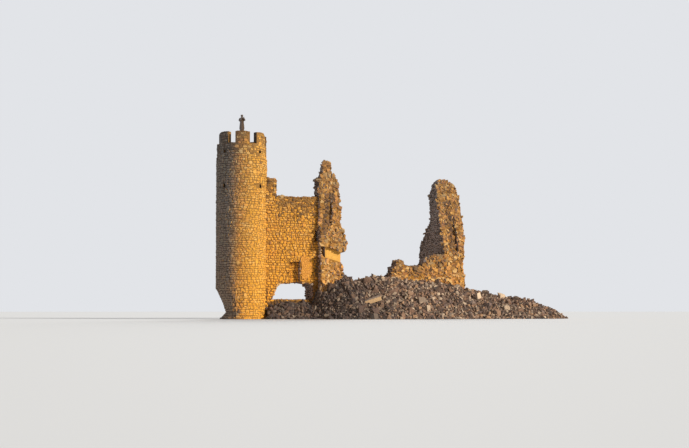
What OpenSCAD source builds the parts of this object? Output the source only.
// Ruined castle: a round tower with a statue, a curtain wall with a breach,
// a cross wall that ends in a pinnacle, a lone wall pillar and the fallen stone between them.
// Origin: on the ground, on the axis of the tower. +X runs along the curtain wall,
// +Y goes into the courtyard, +Z is up. Sizes are in millimetres.

/* [Tower] */
// Outer radius of the round tower
tower_r = 2520; // [2100:10:3100]
// Height of the robbed footing
footing_h = 3100; // [2000:50:4000]
// Deepest loss of facing stones in the footing
footing_loss = 800; // [0:10:1000]
// Height of the tower room's floor bed, the top of the solid drum
drum_top = 11700; // [10000:50:13500]
// Thickness of the tower room's wall
room_wall_t = 950; // [700:10:1200]
// Clear height from the floor bed to the terrace
room_h = 4300; // [3500:50:5200]
// Thickness of the room's paving
paving_t = 150; // [80:10:250]
// Thickness of the terrace
terrace_t = 350; // [200:10:500]
// Height of the parapet above the terrace
parapet_h = 1000; // [700:10:1300]
// Thickness of the parapet and its merlons
parapet_t = 480; // [350:10:600]
// Set-back of the parapet from the tower's face
parapet_in = 70; // [0:5:150]

/* [Tower openings] */
// Width of a loop hole
loop_w = 250; // [150:5:330]
// Height of a loop hole
loop_h = 360; // [240:5:500]
// Height of a loop hole's sill above the paving
loop_sill = 1100; // [800:10:1600]
// Side of a square drain hole through the parapet
drain_w = 260; // [180:5:330]
// Width of the doorway to the wall walk
door_w = 850; // [650:10:1000]
// Height of the doorway to the wall walk
door_h = 1850; // [1600:10:2200]

/* [Merlons and statue] */
// Height of a merlon
merlon_h = 1150; // [800:10:1400]
// Arc that a merlon takes, in degrees
merlon_arc = 34; // [24:1:38]
// Height of the statue's pedestal above the terrace
pedestal_h = 2450; // [1800:50:2950]
// Width of the statue's pedestal
pedestal_w = 620; // [450:10:800]
// Height of the statue
statue_h = 1740; // [1400:20:2200]

/* [Curtain wall] */
// Thickness of the curtain wall
wall_t = 2600; // [2100:10:3200]
// Height of the curtain wall at the wall walk
curtain_h = 12400; // [10500:50:14000]
// Length of the curtain wall from the tower to its right pier
curtain_len = 4630; // [4000:10:5600]
// Height of the low masonry under the breach
breach_sill = 1900; // [1500:10:2300]
// Depth of the blocked window
niche_d = 550; // [300:10:1100]
// Width of the blocked window
niche_w = 1100; // [800:10:1300]
// Height of the blocked window's lintel
niche_top = 5830; // [5400:10:6400]
// Length of the upper wall stub beside the tower
stub_len = 720; // [500:10:1200]
// Height of the upper wall stub above the wall walk
stub_h = 1700; // [1200:50:2300]
// Thickness of the upper wall stub
stub_t = 700; // [500:10:900]

/* [Cross wall and pinnacle] */
// Thickness of the cross walls
cross_t = 2350; // [1950:10:2850]
// How far the cross wall still stands out from the curtain wall
cross_len = 750; // [500:10:1200]
// Width of the right pier's face beside the cross wall
pier_face = 550; // [300:10:800]
// Height of the cross wall's foot, up to the window sill
cross_foot_h = 5720; // [5000:20:6400]
// Height of the plastered window jamb
jamb_h = 1080; // [800:10:1400]
// Depth of the plastered jamb's left reveal
jamb_reveal = 500; // [300:10:700]
// Rise of the jamb's sloped sill across the wall
jamb_rise = 640; // [0:10:800]
// Depth of the broken-out pocket beside the cross wall
pocket_d = 700; // [400:10:1000]
// Height of the pinnacle's shoulder above the curtain wall
shoulder_h = 1900; // [1500:10:2300]
// Height of the pinnacle above its shoulder
pinnacle_h = 1860; // [1500:10:2300]
// Width of the clefts in the broken wall ends
cleft_w = 640; // [400:10:900]
// Depth of the clefts in the broken wall ends
cleft_d = 420; // [200:10:600]

/* [Pillar and stump] */
// Clear width between the cross wall and the wall stump
gap_w = 5700; // [4700:10:6900]
// Length of the wall stump
stump_len = 6090; // [5000:10:7400]
// Height of the wall stump
stump_h = 5600; // [5000:50:6600]
// Height of the pillar's foot
pillar_foot_h = 6700; // [6000:50:7600]
// Height of the pillar
pillar_h = 15060; // [12500:20:18100]
// How far the pillar's wall runs on into the courtyard
pillar_back = 3750; // [3100:50:4500]

/* [Fallen stone] */
// Height of the heap beside the cross wall
heap_left_h = 5000; // [4200:50:5500]
// Lowest height of the heap's crest between the walls
heap_mid_h = 3700; // [3000:50:4500]
// Height of the heap against the wall stump
heap_right_h = 4200; // [3500:50:5000]
// Height of the heap beside the pillar
heap_pillar_h = 3250; // [2600:50:3900]
// Length of the heap's tail beyond the pillar
tail_len = 9800; // [8000:50:11800]
// Reach of the heap from the walls on the outer side
heap_out = 6200; // [5200:50:7200]
// Reach of the heap from the walls on the courtyard side
heap_in = 5000; // [4000:50:6000]
// Size of the lumps on the heap
lump = 170; // [0:10:220]
// Length of the fallen slab
slab_l = 1700; // [1200:50:2200]
// Width of the fallen slab
slab_w = 900; // [700:10:1200]
// Thickness of the fallen slab
slab_t = 400; // [300:10:500]

/* [Hidden] */

$fn = 200;
far = 60000;
stone_step = 420;
stone_jog = 90;

stone = "tan";
stone_dark = "rosybrown";
plaster = "moccasin";

// Heights of the tower
terrace_z = drum_top + room_h;
parapet_z = terrace_z + terrace_t + parapet_h;
pedestal_z = terrace_z + terrace_t;
statue_z = pedestal_z + pedestal_h;
room_r = tower_r - room_wall_t;
parapet_r = tower_r - parapet_in;
terrace_r = parapet_r - parapet_t;

// The loop holes look between the walls: two outwards, one to the courtyard
quarter_turns = [-147, -57, 33, 123];
merlon_count = 7;
merlon_first = -102;

// Places along the curtain wall
half_t = wall_t/2;
pier_x = tower_r + curtain_len;
cross_x = pier_x + pier_face;
cross_end = cross_x + cross_t;
stump_x = cross_end + gap_w;
pillar_x = stump_x + stump_len;
pillar_end = pillar_x + cross_t;
cross_y = -half_t - cross_len;
breach_x = tower_r + 220;
pillar_near = -half_t - 60;
pillar_far = half_t + pillar_back;

// Points of a broken edge: the chosen corners stay and stone-sized jogs come between them
function broken(pts, seed, step = stone_step, jog = stone_jog) =
    let (last = len(pts) - 1)
    [for (i = [0:last])
        let (a = pts[i], b = pts[min(i + 1, last)], d = norm(b - a),
             k = i == last ? 1 : max(1, round(d/step)),
             w = rands(-jog, jog, k + 1, seed + 17*i))
        for (j = [0:k - 1])
            j == 0 ? a : a + (b - a)*j/k + [a[1] - b[1], b[0] - a[0]]/d*w[j]];

// Stretches an [x, z] outline along the curtain wall through its thickness, from y0 to y1
module along_y(outline, y0, y1) {
    translate([0, y1, 0]) rotate([90, 0, 0]) linear_extrude(y1 - y0) polygon(outline);
}

// Stretches a [y, z] outline along the curtain wall, from x0 to x1
module along_x(outline, x0, x1) {
    translate([x0, 0, 0]) rotate([90, 0, 90]) linear_extrude(x1 - x0) polygon(outline);
}

// A piece of wall broken on two sides: front is an [x, z] outline and side a [y, z] outline
module fragment(front, side) {
    intersection() {
        along_y(front, -far/4, far/4);
        along_x(side, -far/4, far);
    }
}

// A ring of masonry between two radii, from angle a0 to a1
module ring_part(r_in, r_out, z0, z1, a0, a1) {
    translate([0, 0, z0]) rotate([0, 0, a0])
        rotate_extrude(angle = a1 - a0) translate([r_in, 0]) square([r_out - r_in, z1 - z0]);
}

// A square hole that runs outwards from the tower's axis at an angle
module radial_hole(angle, w, z0, h) {
    rotate([0, 0, angle]) translate([terrace_r*0.5, -w/2, z0]) cube([tower_r, w, h]);
}

// How much of the footing's facing is gone at an angle and a share of its height
function robbed(a, t) =
    let (west = max(0, cos(a - 158)), east = max(0, cos((a + 48)*1.7)),
         rise = t < 0.22 ? 0.35 + 2.9*t : max(0, 1 - (t - 0.22)/0.78))
    footing_loss*(pow(west, 0.8) + 0.34*pow(east, 2))*rise;

module tower_footing() {
    sides = 40;
    levels = [0, 0.1, 0.22, 0.38, 0.56, 0.76, 1];
    rough = rands(-45, 45, sides*len(levels), 11);
    top = len(levels) - 1;
    rings = [for (l = [0:top]) [for (s = [0:sides - 1])
        let (a = 360*s/sides, seat = abs(a > 180 ? a - 360 : a) < 40 || l == top,
             r = tower_r - (seat ? 0 : robbed(a, levels[l]) + 45 + rough[l*sides + s]))
        [r*cos(a), r*sin(a), footing_h*levels[l]]]];
    color(stone_dark) polyhedron(
        [for (ring = rings) each ring],
        concat(
            [[for (s = [0:sides - 1]) s]],
            [for (l = [0:top - 1]) for (s = [0:sides - 1])
                let (p = l*sides + s, q = l*sides + (s + 1)%sides)
                each [[p, p + sides, q + sides], [p, q + sides, q]]],
            [[for (s = [0:sides - 1]) top*sides + sides - 1 - s]]));
}

module tower_drum() {
    color(stone) translate([0, 0, footing_h]) cylinder(r = tower_r, h = drum_top - footing_h);
}

module room_floor() {
    color(stone) translate([0, 0, drum_top]) cylinder(r = room_r, h = paving_t);
}

// A quarter of the tower room's wall, with a loop hole or the doorway at its middle
module room_wall(i) {
    turn = quarter_turns[i - 1];
    floor_z = drum_top + paving_t;
    walk_z = max(floor_z, curtain_h);
    color(stone) difference() {
        ring_part(room_r, tower_r, drum_top, terrace_z, turn - 45, turn + 45);
        if (i == 3) radial_hole(8, door_w, walk_z, door_h);
        else radial_hole(turn, loop_w, floor_z + loop_sill, loop_h);
    }
}

module terrace() {
    color(stone) translate([0, 0, terrace_z]) cylinder(r = terrace_r, h = terrace_t);
}

// A quarter of the parapet, with a drain hole at the terrace
module parapet(i) {
    turn = quarter_turns[i - 1];
    color(stone) difference() {
        ring_part(terrace_r, parapet_r, terrace_z, parapet_z, turn - 45, turn + 45);
        radial_hole(turn, drain_w, pedestal_z + 60, drain_w);
    }
}

// Wear of each merlon: how far its left and right corners have dropped, and the share of its
// height that is left
merlon_wear = [[60, 40, 1], [60, 330, 1], [180, 60, 0.93], [90, 240, 0.63],
               [260, 40, 0.6], [0, 50, 0.16], [250, 0, 1]];

module merlon(i) {
    turn = merlon_first + (i - 1)*360/merlon_count;
    wear = merlon_wear[i - 1];
    half = parapet_r*sin(merlon_arc/2) + 60;
    top = merlon_h*wear[2];
    outline = broken([[half, top - wear[1]], [half*0.4, top], [-half*0.35, top],
                      [-half, top - wear[0]]], 200 + i, 260, 40);
    color(stone) intersection() {
        ring_part(terrace_r, parapet_r, parapet_z, parapet_z + merlon_h + 60,
                  turn - merlon_arc/2, turn + merlon_arc/2);
        translate([0, 0, parapet_z]) rotate([0, 0, turn]) rotate([90, 0, 90])
            linear_extrude(tower_r) polygon(concat([[-half, 0], [half, 0]], outline));
    }
}

module statue_pedestal() {
    cap_h = 140;
    base_h = 260;
    color(stone) translate([0, 0, pedestal_z]) {
        translate([-pedestal_w/2, -pedestal_w/2, 0]) cube([pedestal_w, pedestal_w, pedestal_h]);
        for (level = [[0, base_h], [pedestal_h - cap_h, cap_h]])
            translate([-pedestal_w/2 - 60, -pedestal_w/2 - 60, level[0]])
                cube([pedestal_w + 120, pedestal_w + 120, level[1]]);
    }
}

// Half widths of the robed figure on its small base, from the foot to the neck:
// share of height, across and fore-aft
robe = [[0, 0.120, 0.110], [0.07, 0.120, 0.110], [0.09, 0.070, 0.065], [0.12, 0.100, 0.090],
        [0.15, 0.112, 0.100], [0.34, 0.102, 0.088], [0.52, 0.090, 0.078], [0.62, 0.098, 0.082],
        [0.68, 0.120, 0.092], [0.74, 0.136, 0.096], [0.80, 0.128, 0.086], [0.84, 0.086, 0.066],
        [0.865, 0.048, 0.048], [0.90, 0.048, 0.052]];

// A limb between two places, each given as [x, y, z] and a radius, as shares of the height
module limb(a, ra, b, rb) {
    hull() {
        translate(a*statue_h) sphere(r = ra*statue_h, $fn = 16);
        translate(b*statue_h) sphere(r = rb*statue_h, $fn = 16);
    }
}

module statue() {
    sides = 16;
    top = len(robe) - 1;
    elbow = [0.162, -0.010, 0.680];
    color("dimgray") translate([0, 0, statue_z]) rotate([0, 0, -20]) union() {
        polyhedron(
            [for (ring = robe) for (s = [0:sides - 1])
                let (a = 360*s/sides)
                [ring[1]*cos(a), ring[2]*sin(a), ring[0]]*statue_h],
            concat(
                [[for (s = [0:sides - 1]) s]],
                [for (l = [0:top - 1]) for (s = [0:sides - 1])
                    let (p = l*sides + s, q = l*sides + (s + 1)%sides)
                    [p, p + sides, q + sides, q]],
                [[for (s = [0:sides - 1]) top*sides + sides - 1 - s]]));
        // Head
        translate([0, -0.01, 0.915]*statue_h) scale([0.94, 1, 1.15])
            sphere(r = 0.074*statue_h, $fn = 24);
        // One arm bent outwards with the hand raised, the other held to the chest
        limb([0.105, 0, 0.785], 0.040, elbow, 0.036);
        limb(elbow, 0.036, [0.130, -0.125, 0.770], 0.028);
        limb([-0.105, 0, 0.785], 0.040, [-0.118, -0.03, 0.640], 0.036);
        limb([-0.118, -0.03, 0.640], 0.036, [-0.020, -0.110, 0.660], 0.028);
    }
}

// Keeps a piece of the curtain wall clear of the round tower
module beside_tower() {
    difference() {
        children();
        translate([0, 0, -1]) cylinder(r = tower_r, h = far/2);
    }
}

// The left edge of the breach, from the low masonry up, and its ragged top
breach_left = [[breach_x, breach_sill], [breach_x + 420, breach_sill + 950],
               [breach_x + 750, breach_sill + 1550], [breach_x + 1050, breach_sill + 1760]];
breach_top = [breach_left[3], [breach_x + 1860, breach_sill + 1820],
              [breach_x + 3010, breach_sill + 1930], [breach_x + 3810, breach_sill + 1780],
              [pier_x - 150, breach_sill + 1550], [pier_x, breach_sill + 1100]];

module curtain_foot() {
    color(stone_dark) beside_tower()
        translate([0, -half_t, 0]) cube([pier_x, wall_t, breach_sill]);
}

module curtain_left_pier() {
    color(stone) beside_tower() along_y(
        concat([[0, breach_sill]], broken(breach_left, 41, 300, 60), [[0, breach_left[3][1]]]),
        -half_t, half_t);
}

module niche_wall() {
    niche_x = tower_r + 2115;
    color(stone) beside_tower() difference() {
        along_y(concat([[0, niche_top], [0, breach_left[3][1]]], broken(breach_top, 43, 380, 80),
                       [[pier_x, niche_top]]), -half_t, half_t);
        translate([niche_x, -half_t - 1, breach_sill]) cube([niche_w, niche_d + 1, far]);
    }
}

module curtain_upper_wall() {
    top = broken([[pier_x, curtain_h], [pier_x - 1900, curtain_h - 130],
                  [tower_r + stub_len + 60, curtain_h - 60]], 47, 520, 50);
    color(stone) beside_tower()
        along_y(concat([[0, niche_top], [pier_x, niche_top]], top,
                       [[tower_r + stub_len, curtain_h], [0, curtain_h]]), -half_t, half_t);
}

module wall_walk_stub() {
    end = tower_r + stub_len;
    side = broken([[end - 60, curtain_h], [end, curtain_h + 0.4*stub_h],
                   [end - 30, curtain_h + stub_h - 60], [end - 500, curtain_h + stub_h],
                   [0, curtain_h + stub_h - 80]], 53, 380, 35);
    color(stone) beside_tower()
        along_y(concat([[0, curtain_h]], side), -half_t, -half_t + stub_t);
}

// A cleft in a broken wall end: it runs up the face from z0 to z1 at x, widest below its middle.
// Its bottom follows the face's [y, z] outline at the cleft's depth.
module cleft(x, z0, z1, face) {
    sides = [for (q = [[0, 0], [-0.35, 0.2], [-0.5, 0.45], [-0.1, 0.75], [0, 1],
                       [0.3, 0.8], [0.5, 0.4], [0.25, 0.15], [0.1, 0]])
        [x + cleft_w*q[0], z0 + (z1 - z0)*q[1]]];
    fragment(broken(sides, 127), concat([for (q = face) [q[0] + cleft_d, q[1]]],
                                        [[-far/5, z1], [-far/5, z0]]));
}

// The jamb's sill and head fall from the left side of the cross wall to the right one
sill_left = cross_foot_h + jamb_rise;
head_left = sill_left + jamb_h;
head_right = cross_foot_h + jamb_h;
jamb_x = cross_x + jamb_reveal;

module curtain_right_pier() {
    edge = broken([[cross_end, head_right + 400], [cross_end - 170, head_right + 2600],
                   [cross_end - 200, curtain_h]], 59);
    color(stone) difference() {
        along_y(concat([[pier_x, 0], [cross_end, 0]], edge, [[pier_x, curtain_h]]),
                -half_t, half_t);
        // The pocket's back and head are uneven, as stones fell out of them
        along_y(broken([[pier_x + 50, head_left + 420], [cross_x - 20, head_left + 380],
                        [cross_x - 20, head_left + 1650], [pier_x + 90, head_left + 1560]], 61, 300, 30),
                -far, -half_t + pocket_d);
    }
}

module cross_wall_foot() {
    side = [[-half_t, 0], [-half_t, sill_left], [cross_y + 60, sill_left], [cross_y, heap_left_h],
            [cross_y, 0]];
    front = [[cross_x, 0], [cross_end, 0], [cross_end, cross_foot_h - 1300],
             [cross_end - 160, cross_foot_h], [cross_x, sill_left]];
    color(stone) fragment(front, side);
}

module window_jamb() {
    front = [[cross_x, sill_left], [cross_end, cross_foot_h], [cross_end, head_right],
             [cross_x, head_left]];
    // The plastered face is splayed, and it stands back from the masonry above and below
    color(plaster) intersection() {
        along_y(front, -far/4, -half_t);
        linear_extrude(far/2) polygon([[jamb_x, -half_t], [jamb_x, cross_y + 120],
            [cross_end - 140, cross_y + 300], [cross_end - 140, -half_t]]);
    }
}

// Outline of the broken cross wall above the jamb, as [y, z]
head_face = [[cross_y - 100, 0], [cross_y - 100, head_left + 600], [cross_y + 250, head_left + 1500],
             [-half_t - 380, head_left + 2300], [-half_t - 260, curtain_h]];

module cross_wall_head() {
    front = concat([[cross_x, head_left], [cross_end, head_right]],
                   broken([[cross_end + 180, head_right + 250], [cross_end + 400, head_right + 1000],
                           [cross_end + 60, head_right + 2100], [cross_end - 160, head_right + 3300],
                           [cross_end - 200, curtain_h]], 67, 380, 60),
                   [[cross_x, curtain_h]]);
    side = concat([[-half_t, curtain_h], [-half_t, 0]], broken(head_face, 71, 400, 60));
    color(stone) difference() {
        fragment(front, side);
        cleft(cross_x + 1150, head_left + 1900, curtain_h + 1, head_face);
    }
}

module pinnacle_base() {
    z = curtain_h;
    front = concat([[cross_x, z], [cross_end - 200, z]],
                   broken([[cross_end - 170, z + 400], [cross_end - 330, z + 900],
                           [cross_end - 430, z + 1500], [cross_end - 540, z + shoulder_h]], 73, 380, 50),
                   broken([[cross_x - 20, z + shoulder_h], [cross_x + 10, z + 700]], 75, 380, 40));
    side = concat([[0, z], [-half_t - 260, z]],
                  broken([[-half_t - 200, z + 500], [-half_t - 120, z + shoulder_h]], 79, 380, 50),
                  broken([[-60, z + shoulder_h], [-20, z + 600]], 83, 380, 50));
    color(stone) fragment(front, side);
}

module pinnacle() {
    z = curtain_h + shoulder_h;
    top = z + pinnacle_h;
    front = broken([[cross_x + 240, z], [cross_x + 330, z + 700], [cross_x + 440, z + 1100],
                    [cross_x + 560, top - 300], [cross_x + 740, top], [cross_x + 900, top - 90],
                    [cross_x + 1200, top - 260], [cross_x + 1340, top - 700],
                    [cross_x + 1230, z + 850], [cross_x + 1420, z + 450],
                    [cross_x + 1780, z + 150], [cross_x + 1800, z]], 89, 300, 45);
    side = broken([[-half_t*0.45, z], [-half_t*0.55, z + 900], [-half_t*0.7, top],
                   [-half_t - 20, top - 120], [-half_t - 80, z + 1000], [-half_t - 120, z]],
                  97, 300, 40);
    color(stone) fragment(front, side);
}

// The stump is broken on its courtyard side too, above the heap
module wall_stump() {
    high = stump_h + 1250;
    bench_z = min(heap_right_h + 200, stump_h - 400);
    front = broken([[pillar_x, high], [pillar_x - 1300, high - 200], [pillar_x - 2450, high - 700],
                    [pillar_x - 2550, stump_h - 120], [stump_x + 1360, stump_h - 130],
                    [stump_x + 1300, stump_h + 420], [stump_x + 560, stump_h + 460],
                    [stump_x + 470, stump_h - 160], [stump_x + 80, stump_h - 350],
                    [stump_x, bench_z]], 101, 420, 60);
    side = concat([[-half_t, 0], [half_t, 0], [half_t, bench_z]],
                  broken([[0, bench_z + 350], [-half_t*0.25, high], [-half_t, high]], 103, 380, 50));
    color(stone) fragment(concat([[stump_x, 0], [pillar_x, 0]], front), side);
}

module pillar_foot() {
    z = pillar_foot_h;
    front = [[pillar_x, 0], [pillar_end, 0], [pillar_end, z - 2600], [pillar_end - 280, z - 1300],
             [pillar_end - 200, z], [pillar_x, z]];
    side = [[pillar_near, 0], [pillar_near, z], [pillar_far, z], [pillar_far - 60, z - 500],
            [pillar_far, z - 1300], [pillar_far, 0]];
    color(stone) fragment(front, side);
}

module pillar_shaft() {
    z = pillar_foot_h;
    top = pillar_h;
    near = [[pillar_near, z], [pillar_near, z + 300], [pillar_near + 470, z + 1400],
            [pillar_near + 1060, z + 3500], [pillar_near + 1540, top - 3000],
            [pillar_near + 2010, top - 1450], [pillar_near + 2270, top]];
    front = concat([[pillar_x, z], [pillar_end - 200, z]],
                   broken([[pillar_end, z + 700], [pillar_end + 260, z + 2300],
                           [pillar_end + 230, top - 1750], [pillar_end - 80, top - 600],
                           [pillar_end - 1090, top - 50], [pillar_x + 320, top],
                           [pillar_x, top - 500]], 109, 420, 70));
    back = broken([[pillar_far - 3550, top], [pillar_far - 3220, top - 650],
                   [pillar_far - 2710, top - 1350], [pillar_far - 2710, z + 3900],
                   [pillar_far - 1980, z + 3300], [pillar_far - 1080, z + 2200],
                   [pillar_far - 190, z + 1300], [pillar_far + 250, z + 350],
                   [pillar_far, z]], 113, 420, 70);
    color(stone) difference() {
        fragment(front, concat(broken(near, 117, 420, 60), back));
        cleft(pillar_x + 1500, z - 1, top - 3000, near);
    }
}

// A heap of fallen stone over a grid of [x, y, z] points. Points at z = 0 lie on the ground,
// where the top and the underside share them.
module heap(grid) {
    n = len(grid);
    m = len(grid[0]);
    top = [for (row = grid) each row];
    low = [for (k = [0:n*m - 1]) top[k][2] > 0 ? n*m + k : k];
    rim = concat([for (j = [0:m - 2]) [j, j + 1]],
                 [for (i = [0:n - 2]) [i*m + m - 1, (i + 1)*m + m - 1]],
                 [for (j = [m - 1:-1:1]) [(n - 1)*m + j, (n - 1)*m + j - 1]],
                 [for (i = [n - 1:-1:1]) [i*m, (i - 1)*m]]);
    cells = [for (i = [0:n - 2]) for (j = [0:m - 2])
        let (p = i*m + j)
        each [[p, p + 1, p + m + 1], [p, p + m + 1, p + m]]];
    faces = concat(cells,
        [for (c = cells) [low[c[2]], low[c[1]], low[c[0]]]],
        [for (e = rim) if (low[e[0]] != e[0]) [e[1], e[0], low[e[0]]]],
        [for (e = rim) if (low[e[1]] != e[1]) [e[1], low[e[0]], low[e[1]]]]);
    // Rows that run towards -Y come out inside out, so their faces are turned over
    turned = grid[0][m - 1][1] < grid[0][0][1];
    polyhedron(concat(top, [for (q = top) [q[0], q[1], 0]]),
               turned ? [for (f = faces) [f[2], f[1], f[0]]] : faces);
}

// Height of a slope of loose stone at a share t of its reach: steep at first, then a foot
function slope(t) = 1 - 0.82*t - 0.18*sin(180*t)*0.6 - 0.18*pow(t, 3);

// Piecewise value between [place, value] pairs
function along(pairs, x) = lookup(x, pairs);

function spread(a, b, n) = [for (i = [0:n]) a + (b - a)*i/n];

// Crests of the heap where it meets the outer faces and the courtyard faces of the walls
between_walls = [[cross_end + 1900, heap_mid_h], [stump_x - 1500, heap_right_h + 100],
                 [stump_x, heap_right_h], [pillar_x, heap_right_h - 400],
                 [pillar_end, heap_pillar_h]];
out_crest = concat([[tower_r - 900, 900], [tower_r + 300, 1500], [tower_r + 2000, breach_sill - 300],
                    [pier_x, breach_sill - 200], [cross_x, 3100], [cross_end, heap_left_h],
                    [cross_end + 900, heap_mid_h + 400]], between_walls);
in_crest = concat([[tower_r - 900, 400], [tower_r + 2000, breach_sill - 700],
                   [pier_x, breach_sill - 400], [cross_end, heap_mid_h],
                   [cross_end + 900, heap_mid_h + 200]], between_walls);

// Foot of the heap on the outer side and in the courtyard, as [x, y]
out_toe = [[tower_r - 900, -half_t - 1100], [tower_r + 600, -half_t - 1900],
           [pier_x - 900, -half_t - 3000], [cross_x, -half_t - 4100],
           [cross_end, -half_t - heap_out + 300], [stump_x, -half_t - heap_out],
           [pillar_end, -half_t - heap_out + 500]];
in_toe = [[tower_r - 900, half_t + 900], [pier_x, half_t + 2200], [cross_end, half_t + heap_in - 400],
          [stump_x, half_t + heap_in], [pillar_x, pillar_far + 1500], [pillar_end, pillar_far + 1500]];

// Lumps that depend only on the place, so that heaps side by side meet
function lumps(x, y) = lump*(sin(0.31*x + 0.57*y) + sin(0.83*x - 0.41*y + 70))/2;

// Points of a slope at x, from y0 to the toe; the crest's height holds at the wall's face
function flank(x, y0, toe, crest, steps) =
    let (foot = along(toe, x), h = along(crest, x))
    [for (j = [0:steps])
        let (y = y0 + (foot - y0)*j/steps, t = max(0, (abs(y) - half_t)/(abs(foot) - half_t)))
        [x, y, j == steps ? 0 : max(90, h*slope(t) + lumps(x, y))]];

function lean(xs, y0, toe, crest, steps) = [for (x = xs) flank(x, y0, toe, crest, steps)];

beside_x = sqrt(pow(tower_r, 2) - pow(half_t, 2)) + 60;

module breach_rubble() {
    color(stone_dark) heap(lean(spread(beside_x, cross_x, 7), -half_t, out_toe, out_crest, 5));
}

module cross_rubble() {
    color(stone_dark) heap(lean(spread(cross_x, cross_end, 4), cross_y, out_toe, out_crest, 6));
}

module middle_rubble() {
    inner_steps = 7;
    // The fallen slab lies in a bed of its own shape
    color(stone_dark) difference() {
        heap([for (x = spread(cross_end, stump_x, 8))
            let (inner = flank(x, half_t, in_toe, in_crest, inner_steps),
                 mid = (along(out_crest, x) + along(in_crest, x))/2)
            concat([for (j = [inner_steps:-1:0]) inner[j]], [[x, 0, mid + lumps(x, 0)]],
                   flank(x, -half_t, out_toe, out_crest, 8))]);
        slab();
    }
}

module wall_rubble() {
    color(stone_dark) heap(lean(spread(stump_x, pillar_x, 9), -half_t, out_toe, out_crest, 8));
}

module pillar_rubble() {
    color(stone_dark) heap(lean(spread(pillar_x, pillar_end, 3), pillar_near, out_toe, out_crest, 8));
}

module court_rubble() {
    color(stone_dark) heap(lean(spread(stump_x, pillar_x, 9), half_t, in_toe, in_crest, 6));
}

module pillar_back_rubble() {
    color(stone_dark) heap(lean(spread(pillar_x, pillar_end, 3), pillar_far, in_toe, in_crest, 3));
}

module inner_rubble() {
    color(stone_dark) heap(lean(spread(beside_x, cross_end, 10), half_t, in_toe, in_crest, 5));
}

// The tail falls away from the pillar, drifts outwards and narrows to a few last stones
module tail_rubble() {
    n = 13;
    steps = 7;
    drift = -0.5;
    crest = [[0, heap_pillar_h], [0.15, 2850], [0.29, 2600], [0.41, 2250], [0.53, 2150],
             [0.70, 1850], [0.78, 1450], [0.86, 1100], [0.94, 800], [1, 300]];
    grid = [for (i = [0:n])
        let (s = i/n, x = pillar_end + tail_len*s, mid = drift*tail_len*s,
             narrow = 1 - 0.45*s - 0.42*pow(s, 3), ridge = half_t*(1 - s)*0.98)
        [for (side = [1, -1]) for (j = side > 0 ? [steps:-1:0] : [0:steps])
            let (foot = (side > 0 ? along(in_toe, x) : -along(out_toe, x))*narrow,
                 w = ridge + 80 + (foot - ridge - 80)*j/steps, y = mid + side*w)
            [x, y, j == steps ? 0
                : max(90, along(crest, s)*slope(j/steps) + lumps(x, y)*(1 - 0.5*s))]]];
    color(stone_dark) heap(grid);
}

// The slab lies lengthwise on the slope, with its right end up
slab_place = [stump_x - 3350, -half_t - 3000, 1880];
slab_turn = [8, -18, -12];

module slab() {
    translate(slab_place) rotate(slab_turn) cube([slab_l, slab_w, slab_t], center = true);
}

module fallen_slab() {
    color(plaster) slab();
}

tower_footing();
tower_drum();
room_floor();
for (i = [1:4]) room_wall(i);
terrace();
for (i = [1:4]) parapet(i);
for (i = [1:7]) merlon(i);
statue_pedestal();
statue();
curtain_foot();
curtain_left_pier();
curtain_right_pier();
niche_wall();
curtain_upper_wall();
wall_walk_stub();
cross_wall_foot();
window_jamb();
cross_wall_head();
pinnacle_base();
pinnacle();
wall_stump();
pillar_foot();
pillar_shaft();
breach_rubble();
cross_rubble();
middle_rubble();
wall_rubble();
pillar_rubble();
tail_rubble();
court_rubble();
pillar_back_rubble();
inner_rubble();
fallen_slab();
